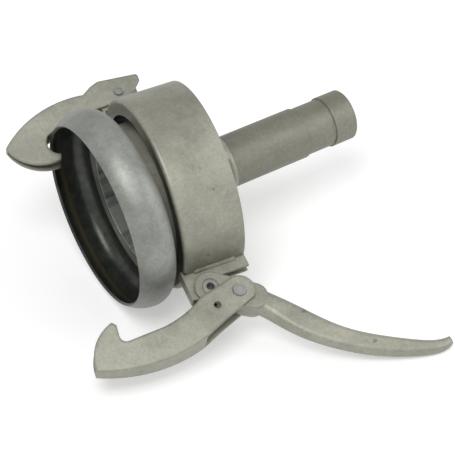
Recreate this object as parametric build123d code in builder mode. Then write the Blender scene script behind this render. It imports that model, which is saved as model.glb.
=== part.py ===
from build123d import *
import os
from math import asin, atan2, cos, degrees, hypot, radians, sin, sqrt

# Ball half of a lever-locked pipe coupling, lying on its side.
# The pipe axis is +X (mouth at -X, tail at +X), Z is up and the origin is on the
# pipe axis, 20 mm behind the mouth. A loose lever ring hangs round the neck and
# carries a lever-drawn hook on one side and a plain counter hook on the other.
# Millimetres.

os.makedirs("parts", exist_ok=True)

# ---- ball, a pressed shell; the neck's diameter sets it and the lever ring ----
neck_od = 159.0
sheet = 3.0              # pressed shell wall
ball_step = 30.5         # crest of the ball above the neck
crest_x = 5.0
rim_draw = 10.0          # mouth's edge inside the crest
rim_depth = 25.0         # crest to mouth
shoulder_r = 20.0        # tight curve behind the crest

# ---- neck, reducer and tail ----
neck_wall = 4.5
neck_length = 60.0
neck_lip = 3.0           # the neck tube stands this far into the ball
tail_od = 57.0
tail_wall = 4.0
tail_length = 157.0
reducer_wall = 4.0
reducer_angle = 55.0     # slope of the cone
big_knuckle = 22.0
small_knuckle = 12.0
relief_start = 95.0      # turned-down stretch of the tail, from its welded end
relief_length = 35.0
relief_depth = 1.5
tail_chamfer = 1.5
weld = 4.0               # leg of the fillet weld
weld_throat = 0.6        # its middle, as a share of the leg
bead = 2.0               # height of the butt welds
bead_half = 4.0

# ---- lever ring ----
ring_step = 4.5          # ring's outside below the crest of the ball
ring_sheet = 3.0
ring_width = 68.0
ring_gap = 17.0          # ball's back to the ring's front, where the ring stands
lip_clear = 9.0          # edge of the flange turned inwards, off the neck
ring_bend = 4.0
ring_side = 3.5          # the loose ring's sideways offset on the neck
ring_yaw = -5.3          # and its turn about the vertical, in degrees
stop_bar = 12.0          # bar diameter of the hoop that keeps the ring on the neck
stop_back = 7.0          # hoop centre before the neck's rear end

# ---- lever gear ----
plate = 3.0              # brackets and hooks
play = 0.05              # radial play of a turning pin
side_gap = 0.4           # between neighbouring plates that turn
pivot_x = -15.0          # lever pivot from the middle of the ring's width
pivot_h = 22.5           # and above the ring
throw = 29.7             # lever pivot to hook pin
open_angle = 32.6        # lever against the ring's axis
bracket_half = 7.0       # half width over the bracket's plates
bracket_rear_h = 13.0    # height of its rear end above the ring
lip_lap = 5.0            # the brackets' front walls lap the ring's front this far
weld_leg = 3.0
bracket_weld_length = 46.0
cheek = 4.2              # each cheek of the lever's fork
head_r = 16.5
slot_gap = 1.2           # fork's depth beyond the bracket's far corner
arm_round = 0.4          # corner radius of the arm, as a share of its thickness
slot_floor = 3.5         # the fork is closed on its outer side from here
slot_front = 10.0        # and open round the pivot up to here
boss_gap = 1.2
boss_less = 3.0          # bracket's boss inside the lever's head
pin_r = 8.5              # lever pivot, tubular
pin_bore = 3.9
pin_chamfer = 0.6
hook_pin_r = 5.0
rivet_head_r = 7.3
rivet_head = 1.8
rivet_dish_r = 4.4
rivet_dish = 0.7
head_taper = 20.0
head_gap = 0.2           # under a rivet's head
hook_end_r = 16.5
hook_nose_half = 9.0     # half width at the claw
claw_root_r = 7.0
safety_hole = (-28.0, 7.0)
safety_hole_r = 3.7

# Points of the hook from its pin: x along the ring, y outwards.
hook_foot = (-40, -7)
hook_under = ((-62, 3.5), (-88, 9))
claw_root = (-134, 9.5)
claw_tip = ((-131, -11), (-134.5, -15.5))
claw_back = (-157, -1)
hook_web = ((-167.5, 27), (-96, 42), (-51, 35))
hook_crown = (-27, 25)

# ---- counter hook ----
counter_pin_x = -12.0    # from the middle of the ring's width
counter_pin_h = 16.0     # above the ring
counter_pin_r = 3.5
counter_head_r = 5.5
counter_boss = 8.0
counter_rear_h = 8.0
counter_half = 14.0      # half width at the ears
counter_nose_half = 5.0
ear_round = 3.0

# Points of the counter hook from its pin, as above.
counter_foot = ((12.5, -8), (-11, -12.5), (-28, -12.5), (-61, -14), (-90, -22.5))
counter_mouth = (-95.6, -35.5)
counter_tip = ((-86, -49), (-88.5, -55))
counter_back = (-116, -49.5)
counter_web = ((-137, -20.5), (-89, 7), (-38, 9))
counter_ear = ((-27, 16), (-17, 19.5), (27.5, 14.5), (27, 6))

# ---- lever's arm ----
# Distance from the pivot, middle height, width and thickness of each section, in
# the lever's own frame (x from pivot to hook pin); the root is as thick as the fork.
arm_root = (46, 1.5, 28)
arm_sections = (
    (78, 10.3, 26.7, 20),
    (112, 21.1, 26.8, 17),
    (150, 27.3, 23, 16),
    (185, 27.0, 20.9, 15),
    (218, 22.9, 17, 14),
    (241, 16.8, 13.5, 12.5),
    (254, 7.5, 9, 9),
)


# ---- derived places ----
neck_r = neck_od / 2
crest_r = neck_r + ball_step
rim_r = crest_r - rim_draw
rim_x = crest_x - rim_depth
ball_back = crest_x + shoulder_r
tail_r = tail_od / 2
neck_start = ball_back - neck_lip
neck_end = neck_start + neck_length
slope = radians(reducer_angle)
knuckles = big_knuckle + small_knuckle
cone_run = (neck_r - tail_r - knuckles * (1 - cos(slope))) / sin(slope)
reducer_length = knuckles * sin(slope) + cone_run * cos(slope)
tail_start = neck_end + reducer_length
ring_front = ball_back + ring_gap
ring_mid = ring_front + ring_width / 2
ring_r = crest_r - ring_step
lip_r = neck_r + lip_clear
fork_half = bracket_half + side_gap + cheek
hook_half = fork_half + side_gap + plate
counter_bracket_half = counter_half - plate - side_gap
pivot_r = ring_r + pivot_h
counter_r = ring_r + counter_pin_h

arm = [(*arm_root, 2 * fork_half), *arm_sections]

# The part lies on the ball, the ring and the lever: the ring hangs down to the
# floor, and the lever gear is rolled until the lever's outer edge is there too.
ring_drop = ring_step
opened = radians(open_angle)


def arm_slope(i):
    """Direction of the arm's middle line at section i, in radians."""
    before, after = arm[max(i - 1, 0)], arm[min(i + 1, len(arm) - 1)]
    return atan2(after[1] - before[1], after[0] - before[0])


def lowest_line(i):
    """Distance from the ring's axis and half thickness of section i's outer edge."""
    e, n, width, thick = arm[i]
    a = arm_slope(i)
    x, y = e - width / 2 * sin(a), n + width / 2 * cos(a)
    return pivot_r + x * sin(opened) + y * cos(opened), thick * (0.5 - arm_round)


reach, low_half = max(lowest_line(i) for i in range(len(arm)))
low_corner = arm_round * 2 * low_half / (1 - 2 * arm_round)
lever_roll = degrees(
    asin((ring_r - low_corner) / hypot(reach - low_corner, low_half))
    - atan2(low_half, reach - low_corner)
)

yaw = radians(ring_yaw)
roll = radians(lever_roll)
ring_axis = Vector(cos(yaw), sin(yaw), 0)
ring_lateral = Vector(-sin(yaw), cos(yaw), 0)
ring_centre = Vector(ring_mid, ring_side, -ring_drop)
lever_out = ring_lateral * -cos(roll) + Vector(0, 0, -sin(roll))


def place(plane, x=0.0, y=0.0, turn=0.0):
    """A copy of plane, moved within itself and turned about its normal."""
    return Plane(plane.location * Location((x, y, 0), (0, 0, turn)))


# x along the ring's axis, y outwards: on the lever's side and on the other side.
lever_side = Plane(ring_centre, x_dir=ring_axis, z_dir=ring_axis.cross(lever_out))
counter_side = Plane(ring_centre, x_dir=ring_axis, z_dir=ring_axis.cross(lever_out) * -1)
pivot_plane = place(lever_side, pivot_x, pivot_r)
lever_plane = place(pivot_plane, turn=open_angle)
hook_plane = place(place(lever_plane, throw), turn=-open_angle)
counter_plane = place(counter_side, counter_pin_x, counter_r)


def save(solid, name):
    solid.label = name
    export_step(solid, f"parts/{name}.step")


# ---- ball shell ----
with BuildPart() as ball_shell:
    with BuildSketch(Plane.XZ):
        with BuildLine():
            rise = crest_r - rim_r
            front_r = (rim_depth**2 + rise**2) / (2 * rise)
            half = asin(rim_depth / front_r) / 2
            mid = (crest_x - front_r * sin(half), crest_r - front_r * (1 - cos(half)))
            ThreePointArc((rim_x, rim_r), mid, (crest_x, crest_r))
            knee = shoulder_r * sqrt(0.5)
            back = ThreePointArc(
                (crest_x, crest_r),
                (crest_x + knee, crest_r - shoulder_r + knee),
                (ball_back, crest_r - shoulder_r),
            )
            Line(back @ 1, (ball_back, neck_r))
            Line((ball_back, neck_r), (ball_back - sheet, neck_r))
            inner_r = shoulder_r - sheet
            inner_knee = inner_r * sqrt(0.5)
            Line((ball_back - sheet, neck_r), (ball_back - sheet, crest_r - shoulder_r))
            ThreePointArc(
                (ball_back - sheet, crest_r - shoulder_r),
                (crest_x + inner_knee, crest_r - shoulder_r + inner_knee),
                (crest_x, crest_r - sheet),
            )
            slant = asin(rim_depth / front_r)
            inner_rim = (rim_x + sheet * sin(slant), rim_r - sheet * cos(slant))
            inner_mid = (
                crest_x - (front_r - sheet) * sin(half),
                crest_r - front_r + (front_r - sheet) * cos(half),
            )
            ThreePointArc((crest_x, crest_r - sheet), inner_mid, inner_rim)
            Line(inner_rim, (rim_x, rim_r))
        make_face()
    revolve(axis=Axis.X)
save(ball_shell.part, "ball_shell")

# ---- neck tube ----
with BuildPart() as neck_tube:
    with BuildSketch(Plane.YZ.offset(neck_start)):
        Circle(neck_r)
        Circle(neck_r - neck_wall, mode=Mode.SUBTRACT)
    extrude(amount=neck_length)
save(neck_tube.part, "neck_tube")


# ---- reducer from the neck to the tail ----
def reducer_line(big_r, small_r, big_bend, small_bend):
    """Generatrix of the reducer: knuckle, cone, knuckle."""
    a = (neck_end + big_bend * sin(slope), big_r - big_bend * (1 - cos(slope)))
    b = (tail_start - small_bend * sin(slope), small_r + small_bend * (1 - cos(slope)))
    h = slope / 2
    first = ThreePointArc(
        (neck_end, big_r), (neck_end + big_bend * sin(h), big_r - big_bend * (1 - cos(h))), a
    )
    Line(a, b)
    second = ThreePointArc(
        b, (tail_start - small_bend * sin(h), small_r + small_bend * (1 - cos(h))), (tail_start, small_r)
    )
    return first, second


with BuildPart() as reducer:
    with BuildSketch(Plane.XZ):
        with BuildLine():
            reducer_line(neck_r, tail_r, big_knuckle, small_knuckle)
            reducer_line(
                neck_r - reducer_wall,
                tail_r - reducer_wall,
                big_knuckle - reducer_wall,
                small_knuckle + reducer_wall,
            )
            Line((neck_end, neck_r), (neck_end, neck_r - reducer_wall))
            Line((tail_start, tail_r), (tail_start, tail_r - reducer_wall))
        make_face()
    revolve(axis=Axis.X)
save(reducer.part, "reducer")

# ---- tail tube with its turned-down stretch ----
with BuildPart() as tail_tube:
    with BuildSketch(Plane.YZ.offset(tail_start)):
        Circle(tail_r)
        Circle(tail_r - tail_wall, mode=Mode.SUBTRACT)
    extrude(amount=tail_length)
    with BuildSketch(Plane.YZ.offset(tail_start + relief_start)):
        Circle(tail_od)
        Circle(tail_r - relief_depth, mode=Mode.SUBTRACT)
    extrude(amount=relief_length, mode=Mode.SUBTRACT)
    end_edges = tail_tube.faces().sort_by(Axis.X)[-1].edges()
    chamfer(end_edges.sort_by(SortBy.RADIUS)[-1], tail_chamfer)
save(tail_tube.part, "tail_tube")

# ---- welds on the pipe ----
with BuildPart() as ball_weld:
    with BuildSketch(Plane.XZ):
        with BuildLine():
            Line((ball_back, neck_r), (ball_back, neck_r + weld))
            ThreePointArc(
                (ball_back, neck_r + weld),
                (ball_back + weld * weld_throat, neck_r + weld * weld_throat),
                (ball_back + weld, neck_r),
            )
            Line((ball_back + weld, neck_r), (ball_back, neck_r))
        make_face()
    revolve(axis=Axis.X)
save(ball_weld.part, "ball_weld")


def fall(radius, run):
    """How far a circle has fallen away from its top at this distance along it."""
    return radius - sqrt(radius**2 - run**2)


def butt_weld(x, radius, knuckle, hand):
    """A low bead round the joint at x of a straight tube of this radius and a knuckle,
    whose surface falls away (hand 1) beyond x or rises (hand -1) before it."""
    foot, half_foot = fall(knuckle, bead_half), fall(knuckle, bead_half / 2)
    curved = (x + hand * bead_half, radius - hand * foot)
    with BuildSketch(Plane.XZ) as section:
        with BuildLine():
            Line((x - hand * bead_half, radius), (x, radius))
            ThreePointArc((x, radius), (x + hand * bead_half / 2, radius - hand * half_foot), curved)
            ThreePointArc(curved, (x, radius + bead), (x - hand * bead_half, radius))
        make_face()
    revolve(section.sketch, axis=Axis.X)


with BuildPart() as neck_weld:
    butt_weld(neck_end, neck_r, big_knuckle, 1)
save(neck_weld.part, "neck_weld")

with BuildPart() as tail_weld:
    butt_weld(tail_start, tail_r, small_knuckle, -1)
save(tail_weld.part, "tail_weld")

# ---- hoop that keeps the ring on the neck ----
stop_x = neck_end - stop_back
with BuildPart() as stop_hoop:
    with BuildSketch(Plane.XZ):
        with Locations((stop_x, neck_r + stop_bar / 2)):
            Circle(stop_bar / 2)
    revolve(axis=Axis.X)
save(stop_hoop.part, "stop_hoop")

# ---- lever ring: a band with its front edge turned in ----
with BuildPart() as lever_ring:
    with BuildSketch(lever_side):
        with BuildLine():
            front, rear = -ring_width / 2, ring_width / 2
            inside = ring_r - ring_sheet
            small = ring_bend - ring_sheet
            Polyline(
                (front + ring_bend, ring_r),
                (rear, ring_r),
                (rear, inside),
                (front + ring_bend, inside),
            )
            RadiusArc((front + ring_bend, inside), (front + ring_sheet, inside - small), -small)
            Polyline(
                (front + ring_sheet, inside - small),
                (front + ring_sheet, lip_r),
                (front, lip_r),
                (front, ring_r - ring_bend),
            )
            RadiusArc((front, ring_r - ring_bend), (front + ring_bend, ring_r), ring_bend)
        make_face()
    revolve(axis=Axis(ring_centre, ring_axis))
save(lever_ring.part, "lever_ring")


# ---- brackets: folded channels on the ring ----
def ring_bracket(side, half, pin_x, pin_h, boss, rear_h, foot, hole):
    """A channel along the ring, closed by a front wall that laps the ring's front.

    side is the ring's plane on that side, pin_x is from the middle of the ring's
    width, heights are above the ring and foot is how far the wall laps down it.
    """
    seat = ring_r - half
    front, rear = -ring_width / 2, ring_width / 2
    crown = (pin_x, ring_r + pin_h + boss)
    brow = (pin_x + boss * sqrt(0.5), ring_r + pin_h + boss * sqrt(0.5))
    cheek_rear = (pin_x + boss, ring_r + pin_h)
    knee = (cheek_rear[0], ring_r + rear_h)
    wall_top = ring_r + pin_h + boss / 2
    with BuildSketch(side) as outside:
        with BuildLine():
            Polyline(cheek_rear, knee, (rear, knee[1]), (rear, seat), (front, seat))
            Polyline((front, seat), (front, wall_top), crown)
            ThreePointArc(crown, brow, cheek_rear)
        make_face()
    extrude(outside.sketch, amount=half, both=True)
    with BuildSketch(side) as inside:
        with Locations((front, seat)):
            Rectangle(2 * ring_width, 2 * (pin_h + boss), align=(Align.MIN, Align.MIN))
    extrude(inside.sketch, amount=half - plate, both=True, mode=Mode.SUBTRACT)
    with BuildSketch(side) as wall:
        with Locations((front, ring_r - foot)):
            Rectangle(plate, wall_top - ring_r + foot, align=(Align.MAX, Align.MIN))
    with BuildSketch(Plane(ring_centre, z_dir=ring_axis)) as band:
        Circle(ring_r)
    extrude(band.sketch, amount=ring_width / 2, both=True, mode=Mode.SUBTRACT)
    extrude(wall.sketch, amount=half, both=True)
    with BuildSketch(place(side, pin_x, ring_r + pin_h)) as eye:
        Circle(hole)
    extrude(eye.sketch, amount=half, both=True, mode=Mode.SUBTRACT)


def bracket_weld(side, half, hand):
    """A fillet bead along the foot of one plate; hand is -1 or 1."""
    inner_seat = sqrt(ring_r**2 - half**2)
    outer_seat = sqrt(ring_r**2 - (half + weld_leg) ** 2)
    with BuildSketch(Plane(side.origin, x_dir=side.z_dir * hand, z_dir=side.x_dir * -hand)) as bead_end:
        with BuildLine():
            across = half + weld_leg / 2
            ThreePointArc(
                (half, inner_seat),
                (across, sqrt(ring_r**2 - across**2)),
                (half + weld_leg, outer_seat),
            )
            Polyline((half + weld_leg, outer_seat), (half, inner_seat + weld_leg), (half, inner_seat))
        make_face()
    extrude(bead_end.sketch, amount=bracket_weld_length / 2, both=True)


bracket_boss = head_r - boss_less
with BuildPart() as lever_bracket:
    ring_bracket(
        lever_side, bracket_half, pivot_x, pivot_h, bracket_boss, bracket_rear_h, lip_lap, pin_r
    )
save(lever_bracket.part, "lever_bracket")

with BuildPart() as counter_bracket:
    ring_bracket(
        counter_side,
        counter_bracket_half,
        counter_pin_x,
        counter_pin_h,
        counter_boss,
        counter_rear_h,
        lip_lap,
        counter_pin_r,
    )
save(counter_bracket.part, "counter_bracket")

for name, side, half in (
    ("lever_bracket_weld", lever_side, bracket_half),
    ("counter_bracket_weld", counter_side, counter_bracket_half),
):
    for number, hand in ((1, -1), (2, 1)):
        with BuildPart() as bracket_bead:
            bracket_weld(side, half, hand)
        save(bracket_bead.part, f"{name}_{number}")

# ---- lever pivot, a tube through the fork and the bracket ----
with BuildPart() as lever_pivot:
    with BuildSketch(pivot_plane):
        Circle(pin_r)
        Circle(pin_bore, mode=Mode.SUBTRACT)
    extrude(amount=fork_half, both=True)
    chamfer(lever_pivot.edges().filter_by(GeomType.CIRCLE), pin_chamfer)
save(lever_pivot.part, "lever_pivot")

# ---- lever: a forked head and a bowed arm that thins towards its tip ----
slot_r = hypot(ring_width / 2 - pivot_x, pivot_h) + slot_gap
with BuildPart() as lever:
    with BuildSketch(lever_plane):
        Circle(head_r)
        with Locations((arm[0][0], arm[0][1])):
            Circle(arm[0][2] / 2)
        make_hull()
    extrude(amount=fork_half, both=True)
    for i, (e, n, width, thick) in enumerate(arm):
        turn = degrees(arm_slope(i))
        along = place(lever_plane, e, n, turn)
        with BuildSketch(Plane(along.origin, x_dir=along.y_dir, z_dir=along.x_dir)):
            RectangleRounded(width, thick, arm_round * thick)
    loft()
    with BuildSketch(lever_plane):
        Circle(slot_r)
        with Locations((0, -slot_floor)):
            Rectangle(2 * slot_r, slot_r, align=(Align.CENTER, Align.MAX), mode=Mode.INTERSECT)
        Circle(bracket_boss + boss_gap)
        with Locations((slot_front, 0)):
            Rectangle(2 * head_r, 2 * slot_r, align=(Align.MAX, Align.CENTER))
    extrude(amount=bracket_half + side_gap, both=True, mode=Mode.SUBTRACT)
    with BuildSketch(pivot_plane):
        Circle(pin_r + play)
    extrude(amount=fork_half, both=True, mode=Mode.SUBTRACT)
    with BuildSketch(hook_plane):
        Circle(hook_pin_r + play)
    extrude(amount=fork_half, both=True, mode=Mode.SUBTRACT)
save(lever.part, "lever")


def rivet(plane, shank_r, over_r, reach):
    """A rivet across plane: the shank, and a low dished head beyond each plate."""
    with BuildSketch(plane) as shank:
        Circle(shank_r)
    extrude(shank.sketch, amount=reach, both=True)
    for hand in (-1, 1):
        seat = Plane(plane.origin + plane.z_dir * (hand * reach), z_dir=plane.z_dir * hand)
        with BuildSketch(seat) as head:
            Circle(over_r)
        extrude(head.sketch, amount=rivet_head, taper=head_taper)
        with BuildSketch(seat.offset(rivet_head)) as dish:
            Circle(over_r * rivet_dish_r / rivet_head_r)
        extrude(dish.sketch, amount=-rivet_dish, mode=Mode.SUBTRACT)


with BuildPart() as hook_pin:
    rivet(hook_plane, hook_pin_r, rivet_head_r, hook_half + head_gap)
save(hook_pin.part, "hook_pin")

with BuildPart() as counter_pin:
    rivet(counter_plane, counter_pin_r, counter_head_r, counter_half + head_gap)
save(counter_pin.part, "counter_pin")


# ---- hooks: folded channels, their web on the outside, drawn in towards the claw ----
def circle_through(a, b, c):
    """Centre and radius of the circle through three points."""
    (ax, ay), (bx, by), (cx, cy) = a, b, c
    d = 2 * (ax * (by - cy) + bx * (cy - ay) + cx * (ay - by))
    aa, bb, cc = ax * ax + ay * ay, bx * bx + by * by, cx * cx + cy * cy
    x = (aa * (by - cy) + bb * (cy - ay) + cc * (ay - by)) / d
    y = (aa * (cx - bx) + bb * (ax - cx) + cc * (bx - ax)) / d
    return (x, y), hypot(ax - x, ay - y)


def channel(plane, outline, web, ear_half, nose_half):
    """A folded channel of outline. The web follows the arc through the three points
    of web, the last where it ends; the width grows from nose_half to ear_half there."""
    plan = Plane(plane.origin, x_dir=plane.x_dir, z_dir=plane.y_dir * -1)
    nose_x, end_x = web[0][0], web[2][0]
    far = abs(nose_x) + 2 * ear_half

    def wedge(less):
        nose, ear = nose_half - less, ear_half - less
        with BuildSketch(plan) as shape:
            with BuildLine():
                edge = [(nose_x - plate, nose), (end_x, ear), (far, ear)]
                Polyline(*edge, *[(x, -y) for x, y in reversed(edge)], close=True)
            make_face()
        extrude(shape.sketch, amount=far, both=True, mode=Mode.INTERSECT)

    with BuildPart(mode=Mode.PRIVATE) as hollow:
        with BuildSketch(plane):
            middle, radius = circle_through(*web)
            with Locations(middle):
                Circle(radius - plate)
            with Locations((end_x, 0)):
                Rectangle(far, 2 * far, align=(Align.MIN, Align.CENTER))
        extrude(amount=ear_half, both=True)
        wedge(plate)
    with BuildSketch(plane) as side:
        add(outline)
    extrude(side.sketch, amount=ear_half, both=True)
    wedge(0)
    add(hollow.part, mode=Mode.SUBTRACT)


with BuildSketch() as hook_outline:
    with BuildLine():
        end = hook_end_r * sqrt(0.5)
        Line((0, -hook_end_r), hook_foot)
        ThreePointArc(hook_foot, *hook_under)
        Polyline(hook_under[1], claw_root, *claw_tip)
        ThreePointArc(claw_tip[1], claw_back, hook_web[0])
        ThreePointArc(*hook_web)
        Polyline(hook_web[2], hook_crown, (end, end))
        ThreePointArc((end, end), (hook_end_r, 0), (0, -hook_end_r))
    make_face()
    fillet(hook_outline.vertices().sort_by_distance(claw_root)[0], claw_root_r)

with BuildPart() as lever_hook:
    channel(hook_plane, hook_outline.sketch, hook_web, hook_half, hook_nose_half)
    with BuildSketch(hook_plane):
        Circle(hook_pin_r + play)
        with Locations(safety_hole):
            Circle(safety_hole_r)
    extrude(amount=hook_half, both=True, mode=Mode.SUBTRACT)
save(lever_hook.part, "lever_hook")

with BuildSketch() as counter_outline:
    with BuildLine():
        Polyline(*counter_foot)
        ThreePointArc(counter_foot[-1], counter_mouth, counter_tip[0])
        Line(*counter_tip)
        ThreePointArc(counter_tip[1], counter_back, counter_web[0])
        ThreePointArc(*counter_web)
        Polyline(counter_web[2], *counter_ear, counter_foot[0])
    make_face()
    fillet(counter_outline.vertices().sort_by_distance(counter_ear[2])[0], ear_round)

with BuildPart() as counter_hook:
    channel(counter_plane, counter_outline.sketch, counter_web, counter_half, counter_nose_half)
    with BuildSketch(counter_plane):
        Circle(counter_pin_r + play)
    extrude(amount=counter_half, both=True, mode=Mode.SUBTRACT)
save(counter_hook.part, "counter_hook")
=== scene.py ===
"""Ball half of a lever lock pipe coupling, in dull hot-dip galvanised steel.

Metres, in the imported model's frame: +X runs from the mouth to the tail along the
pipe axis, +Z is up as the part lies on the floor, and the lever is on the -Y side.
"""
import math

import bpy
from mathutils import Euler, Matrix, Vector


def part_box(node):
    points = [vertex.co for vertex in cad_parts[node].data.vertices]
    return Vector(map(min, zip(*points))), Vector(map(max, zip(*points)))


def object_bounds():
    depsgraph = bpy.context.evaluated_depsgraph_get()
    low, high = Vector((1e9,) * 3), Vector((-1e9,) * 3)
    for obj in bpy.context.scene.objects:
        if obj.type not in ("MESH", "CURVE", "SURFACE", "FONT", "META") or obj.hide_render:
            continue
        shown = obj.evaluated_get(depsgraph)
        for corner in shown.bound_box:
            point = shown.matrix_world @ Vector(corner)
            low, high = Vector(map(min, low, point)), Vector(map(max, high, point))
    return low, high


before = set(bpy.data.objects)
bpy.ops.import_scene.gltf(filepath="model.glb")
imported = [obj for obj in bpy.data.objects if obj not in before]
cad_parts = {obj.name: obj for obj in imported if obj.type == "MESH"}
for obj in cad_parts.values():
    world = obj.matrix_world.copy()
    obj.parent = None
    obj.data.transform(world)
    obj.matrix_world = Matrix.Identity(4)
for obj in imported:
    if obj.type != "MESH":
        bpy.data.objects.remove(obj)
cad_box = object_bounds()

# ---- camera: where it stands, as seen from the part ----
CAMERA_AZIMUTH = 28.87      # degrees from looking along +Y, towards +X
CAMERA_ELEVATION = 42.22
CAMERA_ROLL = -2.97
CAMERA_DISTANCE = 1.560
CAMERA_AIM = Vector((0.0968, -0.0748, -0.0160))
SENSOR_MM = 36.0
LENS_MM = 118.72

# ---- zinc colours, linear RGB ----
ZINC_LIGHT = (0.370, 0.365, 0.305, 1.0)
ZINC_MID = (0.315, 0.313, 0.262, 1.0)
ZINC_DARK = (0.245, 0.245, 0.200, 1.0)
BALL_LIGHT = (0.330, 0.340, 0.320, 1.0)
BALL_MID = (0.280, 0.290, 0.268, 1.0)
BALL_DARK = (0.215, 0.222, 0.195, 1.0)
TUBE_LIGHT = (0.250, 0.250, 0.205, 1.0)
TUBE_MID = (0.205, 0.205, 0.165, 1.0)
TUBE_DARK = (0.155, 0.155, 0.125, 1.0)
# painted shade: near-black colours for the surfaces inside the pipe and the band, standing in for
# the shade there
PAINTED_SHADE_INSIDE = (0.030, 0.033, 0.028, 1.0)
PAINTED_SHADE_INSIDE_PALE = (0.075, 0.080, 0.068, 1.0)
RUST = (0.115, 0.090, 0.048, 1.0)
# painted reflection: the zinc inside the neck is lightened to stand in for its mirror-like
# reflection; DRIP_ZINC gives the darker runs of the drips
PAINTED_REFLECTION_ZINC = (0.560, 0.580, 0.540, 1.0)
DRIP_ZINC = (0.20, 0.22, 0.20, 1.0)

# ---- grain of the zinc: texture scales per metre, and the depth of its bumps ----
CLOUD_SCALE = 16.0          # patches about 60 mm wide
SWELL_SCALE = 40.0
PIT_SCALE = 75.0
CRYSTAL_SCALE = 260.0       # flakes about 4 mm wide
ROUGH_SCALE = 300.0
GRAIN_SCALE = 420.0
BUMP_DEPTH = 0.0005
RUST_BEHIND_RIM = 0.014
RUST_HALF_WIDTH = 0.0035

# ---- light ----
FLOOR_GLOW = 0.35
FLOOR_HALF = 6.0
AMBIENT = 0.55
LIGHT_AIM = Vector((0.08, -0.03, 0.0))


# ---- small helpers for node materials ----
class Nodes:
    """A material's node tree with short calls for the nodes used here."""

    def __init__(self, name):
        self.material = bpy.data.materials.new(name)
        self.material.use_nodes = True
        self.nodes = self.material.node_tree.nodes
        self.links = self.material.node_tree.links
        self.shader = self.nodes["Principled BSDF"]

    def put(self, value, socket):
        if isinstance(value, bpy.types.NodeSocket):
            self.links.new(value, socket)
        else:
            socket.default_value = value

    def noise(self, coords, scale, detail=4.0, rough=0.55):
        node = self.nodes.new("ShaderNodeTexNoise")
        self.put(coords, node.inputs["Vector"])
        node.inputs["Scale"].default_value = scale
        node.inputs["Detail"].default_value = detail
        node.inputs["Roughness"].default_value = rough
        return node.outputs["Fac"]

    def ramp(self, fac, *stops):
        node = self.nodes.new("ShaderNodeValToRGB")
        while len(node.color_ramp.elements) < len(stops):
            node.color_ramp.elements.new(0.5)
        for element, (position, color) in zip(node.color_ramp.elements, stops):
            element.position = position
            element.color = color if isinstance(color, tuple) else (color, color, color, 1.0)
        self.put(fac, node.inputs["Fac"])
        return node.outputs["Color"]

    def mix(self, fac, a, b, blend="MIX"):
        node = self.nodes.new("ShaderNodeMix")
        node.data_type = "RGBA"
        node.blend_type = blend
        self.put(fac, node.inputs[0])
        self.put(a, node.inputs[6])
        self.put(b, node.inputs[7])
        return node.outputs[2]

    def math(self, operation, a, b=0.0, c=0.0):
        node = self.nodes.new("ShaderNodeMath")
        node.operation = operation
        for value, socket in zip((a, b, c), node.inputs):
            self.put(value, socket)
        return node.outputs["Value"]

    def remap(self, value, low, high, to_low=0.0, to_high=1.0):
        node = self.nodes.new("ShaderNodeMapRange")
        self.put(value, node.inputs["Value"])
        ends = {"From Min": low, "From Max": high, "To Min": to_low, "To Max": to_high}
        for name, number in ends.items():
            node.inputs[name].default_value = number
        return node.outputs["Result"]

    def stretched(self, coords, scale):
        node = self.nodes.new("ShaderNodeMapping")
        self.put(coords, node.inputs["Vector"])
        node.inputs["Scale"].default_value = scale
        return node.outputs["Vector"]

    def split(self, coords):
        node = self.nodes.new("ShaderNodeSeparateXYZ")
        self.put(coords, node.inputs["Vector"])
        return node.outputs

    def facing_axis(self, coords):
        """1 where the surface faces the pipe axis, 0 where it faces away."""
        x, y, z = self.split(coords)
        radial = self.nodes.new("ShaderNodeCombineXYZ")
        self.put(y, radial.inputs["Y"])
        self.put(z, radial.inputs["Z"])
        dot = self.nodes.new("ShaderNodeVectorMath")
        dot.operation = "DOT_PRODUCT"
        self.put(radial.outputs["Vector"], dot.inputs[0])
        self.put(self.nodes.new("ShaderNodeTexCoord").outputs["Normal"], dot.inputs[1])
        return self.remap(dot.outputs["Value"], -0.0005, -0.004)


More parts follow.
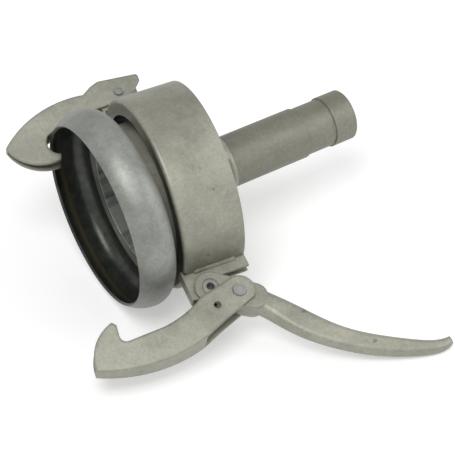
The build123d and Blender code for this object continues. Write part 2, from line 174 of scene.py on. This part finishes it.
def galvanised(
    name, tones, bump=0.3, rough=(0.40, 0.58), metallic=0.6, edge=0.0012, inside=None, streak=None
):
    """Weathered hot-dip zinc: cloudy patches, faint crystals, dark specks, rounded edges.

    inside gives the colour of the surfaces that face the pipe axis, as a function of
    the tree and its coordinates; this colour is painted shade, and a painted reflection in the
    neck; streak stretches the clouds along one direction."""
    tree = Nodes(name)
    place = tree.nodes.new("ShaderNodeTexCoord").outputs["Object"]
    light, mid, dark = tones
    spread = tree.stretched(place, streak) if streak else place
    clouds = tree.noise(spread, CLOUD_SCALE, 6.0, 0.6)
    tone = tree.ramp(clouds, (0.34, dark), (0.5, mid), (0.66, light))
    crystals = tree.nodes.new("ShaderNodeTexVoronoi")
    crystals.inputs["Scale"].default_value = CRYSTAL_SCALE
    tree.put(place, crystals.inputs["Vector"])
    flakes = tree.ramp(crystals.outputs["Color"], (0.2, 0.95), (0.8, 1.04))
    tone = tree.mix(1.0, tone, flakes, "MULTIPLY")
    grain = tree.ramp(tree.noise(place, GRAIN_SCALE, 6.0, 0.7), (0.35, 0.90), (0.65, 1.07))
    tone = tree.mix(1.0, tone, grain, "MULTIPLY")
    pits = tree.ramp(tree.noise(place, PIT_SCALE, 9.0, 0.62), (0.285, 0.35), (0.325, 1.0))
    tone = tree.mix(0.75, tone, pits, "MULTIPLY")
    dullness = tree.remap(clouds, 0.3, 0.7, *rough)
    if inside:
        facing = tree.facing_axis(place)
        # the colour of the surfaces facing the axis is painted shade, and in the neck a painted
        # reflection, with the rust line and the drips
        inner_colour_and_painted_light, lining_rough = inside(tree, place)
        tone = tree.mix(facing, tone, inner_colour_and_painted_light)
        change = tree.math("SUBTRACT", lining_rough, dullness)
        dullness = tree.math("MULTIPLY_ADD", facing, change, dullness)
    tree.put(tone, tree.shader.inputs["Base Color"])
    tree.put(dullness, tree.shader.inputs["Roughness"])
    tree.shader.inputs["Metallic"].default_value = metallic
    swell = tree.noise(place, SWELL_SCALE, 3.0, 0.5)
    height = tree.math("MULTIPLY_ADD", swell, 2.5, tree.noise(place, ROUGH_SCALE, 5.0, 0.6))
    corner = tree.nodes.new("ShaderNodeBevel")
    corner.samples = 4
    corner.inputs["Radius"].default_value = edge
    bumps = tree.nodes.new("ShaderNodeBump")
    bumps.inputs["Strength"].default_value = bump
    bumps.inputs["Distance"].default_value = BUMP_DEPTH
    tree.put(height, bumps.inputs["Height"])
    tree.put(corner.outputs["Normal"], bumps.inputs["Normal"])
    tree.put(bumps.outputs["Normal"], tree.shader.inputs["Normal"])
    return tree.material


# ---- colours inside the pipe: painted shade, a rust line, drips and a painted reflection ----
def ball_painted_shade_and_rust(tree, place):
    """Painted shade inside the ball: a near-black colour on the surfaces facing the axis, with a
    rust line just behind the rim.
    """
    x = tree.split(place)[0]
    stain = tree.noise(place, 60.0, 6.0, 0.65)
    # painted shade: the inside of the ball is coloured near-black, varied by the stain noise
    dark = tree.ramp(stain, (0.35, PAINTED_SHADE_INSIDE), (0.70, PAINTED_SHADE_INSIDE_PALE))
    wave = tree.math("MULTIPLY_ADD", stain, 0.004, x)
    near = tree.math("ABSOLUTE", tree.math("SUBTRACT", wave, RUST_LINE_X))
    return tree.mix(tree.remap(near, RUST_HALF_WIDTH, 0.0010, 0.0, 0.9), dark, RUST), 0.30


def drips_and_painted_reflection_lining(tree, place):
    """Smooth zinc inside the neck, its colour lightened as a painted reflection, run down in drips.
    """
    runs = tree.noise(tree.stretched(place, (0.25, 1.0, 1.0)), 70.0, 4.0, 0.6)
    return tree.ramp(runs, (0.30, DRIP_ZINC), (0.55, PAINTED_REFLECTION_ZINC)), 0.22


# painted shade: near-black colour for the inner faces of the band and the tubes
def painted_shade_lining(tree, place):
    return tree.ramp(tree.noise(place, 50.0, 5.0, 0.6), (0.35, PAINTED_SHADE_INSIDE), (0.70, PAINTED_SHADE_INSIDE_PALE)), 0.55


RUST_LINE_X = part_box("ball_shell")[0][0] + RUST_BEHIND_RIM


def set_material(node, material):
    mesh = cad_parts[node].data
    mesh.materials.clear()
    mesh.materials.append(material)


# ---- the zinc of each kind of piece ----
ZINC = (ZINC_LIGHT, ZINC_MID, ZINC_DARK)
BALL = (BALL_LIGHT, BALL_MID, BALL_DARK)
TUBE = (TUBE_LIGHT, TUBE_MID, TUBE_DARK)
band_zinc = galvanised("zinc_band", ZINC, inside=painted_shade_lining, edge=0.0010)
folded_zinc = galvanised("zinc_folded", ZINC, edge=0.0040)
bracket_zinc = galvanised("zinc_bracket", ZINC, edge=0.0020)
ball_zinc = galvanised("zinc_ball", BALL, inside=ball_painted_shade_and_rust, edge=0.0008)
neck_zinc = galvanised("zinc_neck", TUBE, inside=drips_and_painted_reflection_lining)
tube_zinc = galvanised("zinc_tube", TUBE, bump=0.35, inside=painted_shade_lining, streak=(0.3, 1.0, 1.0))
cast_zinc = galvanised(
    "zinc_cast", ZINC, bump=0.6, rough=(0.36, 0.55), edge=0.0025, streak=(0.4, 1.0, 1.0)
)
pin_zinc = galvanised("zinc_pin", BALL, bump=0.5, edge=0.0010)
weld_zinc = galvanised("zinc_weld", ZINC, bump=1.0, rough=(0.30, 0.50), edge=0.0010)

ZINC_OF_NODE = {
    "ball_shell": ball_zinc,
    "neck_tube": neck_zinc,
    "reducer": tube_zinc,
    "tail_tube": tube_zinc,
    "stop_hoop": tube_zinc,
    "lever_ring": band_zinc,
    "lever_bracket": bracket_zinc,
    "counter_bracket": bracket_zinc,
    "lever_pivot": pin_zinc,
    "hook_pin": pin_zinc,
    "counter_pin": pin_zinc,
    "lever": cast_zinc,
    "lever_hook": folded_zinc,
    "counter_hook": folded_zinc,
}
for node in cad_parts:
    set_material(node, ZINC_OF_NODE.get(node, weld_zinc))


# ---- camera ----
def look_direction(azimuth, elevation):
    a, e = math.radians(azimuth), math.radians(elevation)
    return Vector((math.sin(a) * math.cos(e), math.cos(a) * math.cos(e), -math.sin(e)))


def add_camera():
    data = bpy.data.cameras.new("camera")
    data.sensor_width = SENSOR_MM
    data.lens = LENS_MM
    data.clip_start, data.clip_end = 0.05, 20.0
    camera = bpy.data.objects.new("camera", data)
    bpy.context.collection.objects.link(camera)
    view = look_direction(CAMERA_AZIMUTH, CAMERA_ELEVATION)
    roll = Euler((0, 0, math.radians(CAMERA_ROLL))).to_quaternion()
    turn = view.to_track_quat("-Z", "Y") @ roll
    place = Matrix.Translation(CAMERA_AIM - view * CAMERA_DISTANCE)
    camera.matrix_world = place @ turn.to_matrix().to_4x4()
    bpy.context.scene.camera = camera


# ---- floor, seen as white by the camera and in reflections ----

def add_floor(z):
    side = FLOOR_HALF
    mesh = bpy.data.meshes.new("floor")
    mesh.from_pydata(
        [(-side, -side, z), (side, -side, z), (side, side, z), (-side, side, z)], [], [(0, 1, 2, 3)]
    )
    floor = bpy.data.objects.new("floor", mesh)
    bpy.context.collection.objects.link(floor)
    tree = Nodes("floor_white")
    tree.shader.inputs["Base Color"].default_value = (0.80, 0.80, 0.80, 1.0)
    tree.shader.inputs["Roughness"].default_value = 0.9
    path = tree.nodes.new("ShaderNodeLightPath").outputs
    seen = tree.math("MAXIMUM", path["Is Camera Ray"], path["Is Glossy Ray"])
    seen = tree.math("MAXIMUM", seen, path["Is Transmission Ray"])
    tree.put(tree.mix(seen, (0, 0, 0, 1), (1, 1, 1, 1)), tree.shader.inputs["Emission Color"])
    tree.shader.inputs["Emission Strength"].default_value = FLOOR_GLOW
    mesh.materials.append(tree.material)


def add_world():
    world = bpy.data.worlds.new("studio")
    world.use_nodes = True
    bpy.context.scene.world = world
    nodes, links = world.node_tree.nodes, world.node_tree.links
    soft = nodes["Background"]
    soft.inputs["Color"].default_value = (1.0, 1.0, 1.0, 1.0)
    soft.inputs["Strength"].default_value = AMBIENT
    white = nodes.new("ShaderNodeBackground")
    white.inputs["Strength"].default_value = 1.0
    path = nodes.new("ShaderNodeLightPath")
    blend = nodes.new("ShaderNodeMixShader")
    seen = path.outputs["Is Camera Ray"]
    for ray in ("Is Glossy Ray", "Is Transmission Ray"):
        either = nodes.new("ShaderNodeMath")
        either.operation = "MAXIMUM"
        links.new(seen, either.inputs[0])
        links.new(path.outputs[ray], either.inputs[1])
        seen = either.outputs["Value"]
    links.new(seen, blend.inputs["Fac"])
    links.new(soft.outputs["Background"], blend.inputs[1])
    links.new(white.outputs["Background"], blend.inputs[2])
    links.new(blend.outputs["Shader"], nodes["World Output"].inputs["Surface"])


def add_area(name, location, size, power):
    data = bpy.data.lights.new(name, "AREA")
    data.shape = "DISK"
    data.size = size
    data.energy = power
    light = bpy.data.objects.new(name, data)
    light.location = location
    light.rotation_euler = (LIGHT_AIM - Vector(location)).to_track_quat("-Z", "Y").to_euler()
    bpy.context.collection.objects.link(light)


add_camera()
add_floor(cad_box[0][2])
add_world()
add_area("key", (-0.5, -0.6, 1.6), 0.9, 14.0)
add_area("fill", (1.2, -0.8, 0.9), 1.2, 6.0)

bpy.context.scene.view_settings.view_transform = "Standard"
